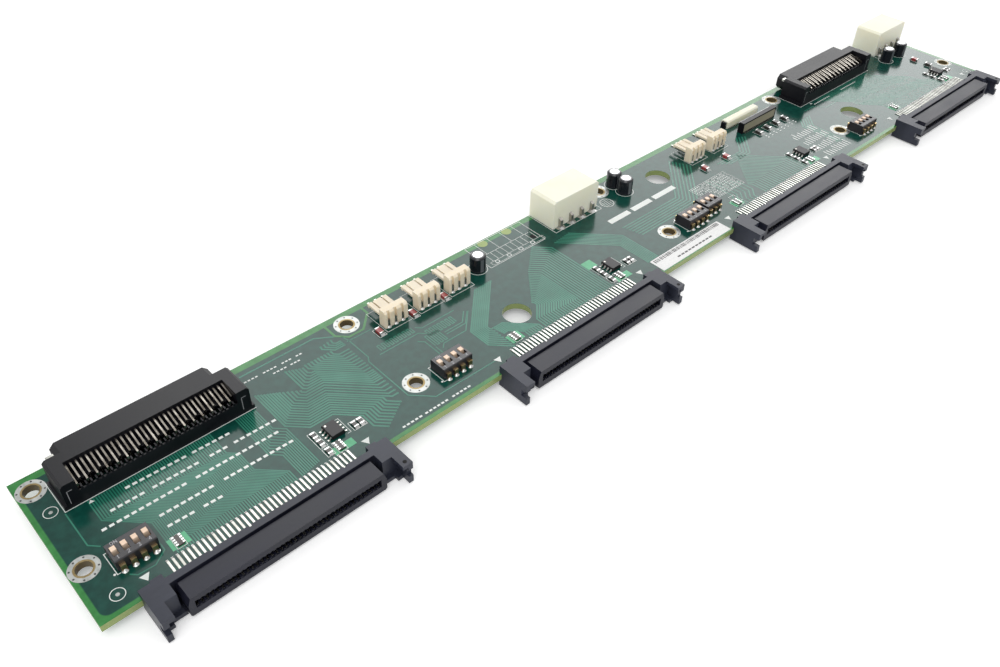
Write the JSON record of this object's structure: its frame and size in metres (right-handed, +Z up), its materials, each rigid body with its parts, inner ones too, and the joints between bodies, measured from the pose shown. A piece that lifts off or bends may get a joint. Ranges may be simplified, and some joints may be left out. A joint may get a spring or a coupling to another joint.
{
  "type": "drive backplane board",
  "caption": "Long printed board that carries edge sockets for hot-swap drives, with cable, power and fan connectors and small slide switches.",
  "frame": {"origin": "centre of the bounding box in plan, at the underside of the drive sockets", "axes": "X along the board's long edge, Y from the drive sockets to the cable side, Z up from the board's component side"},
  "size_m": [0.402, 0.0608, 0.0151],
  "materials": {
    "circuit_board": "green solder mask on glass-epoxy laminate",
    "drive_socket": "moulded dark grey plastic",
    "tinned_leads": "tinned copper alloy",
    "cable_connector": "moulded black plastic",
    "cable_pins": "tinned copper alloy",
    "power_header": "moulded ivory nylon",
    "power_pins": "tinned brass",
    "fan_header": "moulded ivory nylon",
    "fan_pins": "tinned copper alloy",
    "capacitor": "black sleeve, bare aluminium top",
    "switch_housing": "moulded black plastic",
    "switch_slider": "moulded pale orange plastic",
    "switch_leads": "gold-plated shoulders",
    "small_chips": "moulded black epoxy",
    "small_chip_leads": "tinned leads",
    "chip_parts": "ceramic bodies with tinned ends",
    "ribbon_black": "moulded black plastic",
    "ribbon_panel": "olive plastic",
    "ribbon_ivory": "moulded ivory plastic",
    "ribbon_tabs": "dark plastic tabs",
    "bar_label": "white paper with plain bars"
  },
  "bodies": {
    "backplane": {"circuit_board": "circuit_board", "drive_socket_1": "drive_socket", "socket_leads_1": "tinned_leads", "drive_socket_2": "drive_socket", "socket_leads_2": "tinned_leads", "drive_socket_3": "drive_socket", "socket_leads_3": "tinned_leads", "drive_socket_4": "drive_socket", "socket_leads_4": "tinned_leads", "cable_connector_1": "cable_connector", "cable_pins_1": "cable_pins", "power_header_1": "power_header", "cable_connector_2": "cable_connector", "cable_pins_2": "cable_pins", "power_header_2": "power_header", "power_pins": "power_pins", "fan_header_1": "fan_header", "capacitor_1": "capacitor", "dip_switch_1": "switch_housing", "fan_header_2": "fan_header", "capacitor_2": "capacitor", "dip_switch_2": "switch_housing", "fan_header_3": "fan_header", "capacitor_3": "capacitor", "dip_switch_3": "switch_housing", "fan_header_4": "fan_header", "capacitor_4": "capacitor", "dip_switch_4": "switch_housing", "fan_header_5": "fan_header", "capacitor_5": "capacitor", "dip_switch_5": "switch_housing", "fan_pins": "fan_pins", "switch_leads": "switch_leads", "small_chips": "small_chips", "small_chip_leads": "small_chip_leads", "chip_parts": "chip_parts", "ribbon_socket_black": "ribbon_black", "ribbon_socket_panel": "ribbon_panel", "ribbon_socket_ivory": "ribbon_ivory", "ribbon_socket_tabs": "ribbon_tabs", "bar_label": "bar_label"},
    "slider_1": {"switch_slider_1": "switch_slider"},
    "slider_2": {"switch_slider_2": "switch_slider"},
    "slider_3": {"switch_slider_3": "switch_slider"},
    "slider_4": {"switch_slider_4": "switch_slider"},
    "slider_5": {"switch_slider_5": "switch_slider"},
    "slider_6": {"switch_slider_6": "switch_slider"},
    "slider_7": {"switch_slider_7": "switch_slider"},
    "slider_8": {"switch_slider_8": "switch_slider"},
    "slider_9": {"switch_slider_9": "switch_slider"},
    "slider_10": {"switch_slider_10": "switch_slider"},
    "slider_11": {"switch_slider_11": "switch_slider"},
    "slider_12": {"switch_slider_12": "switch_slider"},
    "slider_13": {"switch_slider_13": "switch_slider"},
    "slider_14": {"switch_slider_14": "switch_slider"},
    "slider_15": {"switch_slider_15": "switch_slider"},
    "slider_16": {"switch_slider_16": "switch_slider"},
    "slider_17": {"switch_slider_17": "switch_slider"},
    "slider_18": {"switch_slider_18": "switch_slider"},
    "slider_19": {"switch_slider_19": "switch_slider"}
  },
  "joints": [
    {"name": "slider_travel_1", "type": "slide", "parent": "backplane", "child": "slider_1", "axis": [0, 1, 0], "range_m": [-0.0012, 0]},
    {"name": "slider_travel_2", "type": "slide", "parent": "backplane", "child": "slider_2", "axis": [0, 1, 0], "range_m": [-0.0012, 0]},
    {"name": "slider_travel_3", "type": "slide", "parent": "backplane", "child": "slider_3", "axis": [0, 1, 0], "range_m": [-0.0012, 0]},
    {"name": "slider_travel_4", "type": "slide", "parent": "backplane", "child": "slider_4", "axis": [0, 1, 0], "range_m": [-0.0012, 0]},
    {"name": "slider_travel_5", "type": "slide", "parent": "backplane", "child": "slider_5", "axis": [0, 1, 0], "range_m": [-0.0012, 0]},
    {"name": "slider_travel_6", "type": "slide", "parent": "backplane", "child": "slider_6", "axis": [0, 1, 0], "range_m": [-0.0012, 0]},
    {"name": "slider_travel_7", "type": "slide", "parent": "backplane", "child": "slider_7", "axis": [0, 1, 0], "range_m": [-0.0012, 0]},
    {"name": "slider_travel_8", "type": "slide", "parent": "backplane", "child": "slider_8", "axis": [0, 1, 0], "range_m": [-0.0012, 0]},
    {"name": "slider_travel_9", "type": "slide", "parent": "backplane", "child": "slider_9", "axis": [0, 1, 0], "range_m": [-0.0012, 0]},
    {"name": "slider_travel_10", "type": "slide", "parent": "backplane", "child": "slider_10", "axis": [0, 1, 0], "range_m": [-0.0012, 0]},
    {"name": "slider_travel_11", "type": "slide", "parent": "backplane", "child": "slider_11", "axis": [0, 1, 0], "range_m": [-0.0012, 0]},
    {"name": "slider_travel_12", "type": "slide", "parent": "backplane", "child": "slider_12", "axis": [0, 1, 0], "range_m": [-0.0012, 0]},
    {"name": "slider_travel_13", "type": "slide", "parent": "backplane", "child": "slider_13", "axis": [0, 1, 0], "range_m": [-0.0012, 0]},
    {"name": "slider_travel_14", "type": "slide", "parent": "backplane", "child": "slider_14", "axis": [0, 1, 0], "range_m": [-0.0012, 0]},
    {"name": "slider_travel_15", "type": "slide", "parent": "backplane", "child": "slider_15", "axis": [0, 1, 0], "range_m": [-0.0012, 0]},
    {"name": "slider_travel_16", "type": "slide", "parent": "backplane", "child": "slider_16", "axis": [0, 1, 0], "range_m": [-0.0012, 0]},
    {"name": "slider_travel_17", "type": "slide", "parent": "backplane", "child": "slider_17", "axis": [0, 1, 0], "range_m": [-0.0012, 0]},
    {"name": "slider_travel_18", "type": "slide", "parent": "backplane", "child": "slider_18", "axis": [0, 1, 0], "range_m": [-0.0012, 0]},
    {"name": "slider_travel_19", "type": "slide", "parent": "backplane", "child": "slider_19", "axis": [0, 1, 0], "range_m": [-0.0012, 0]}
  ]
}
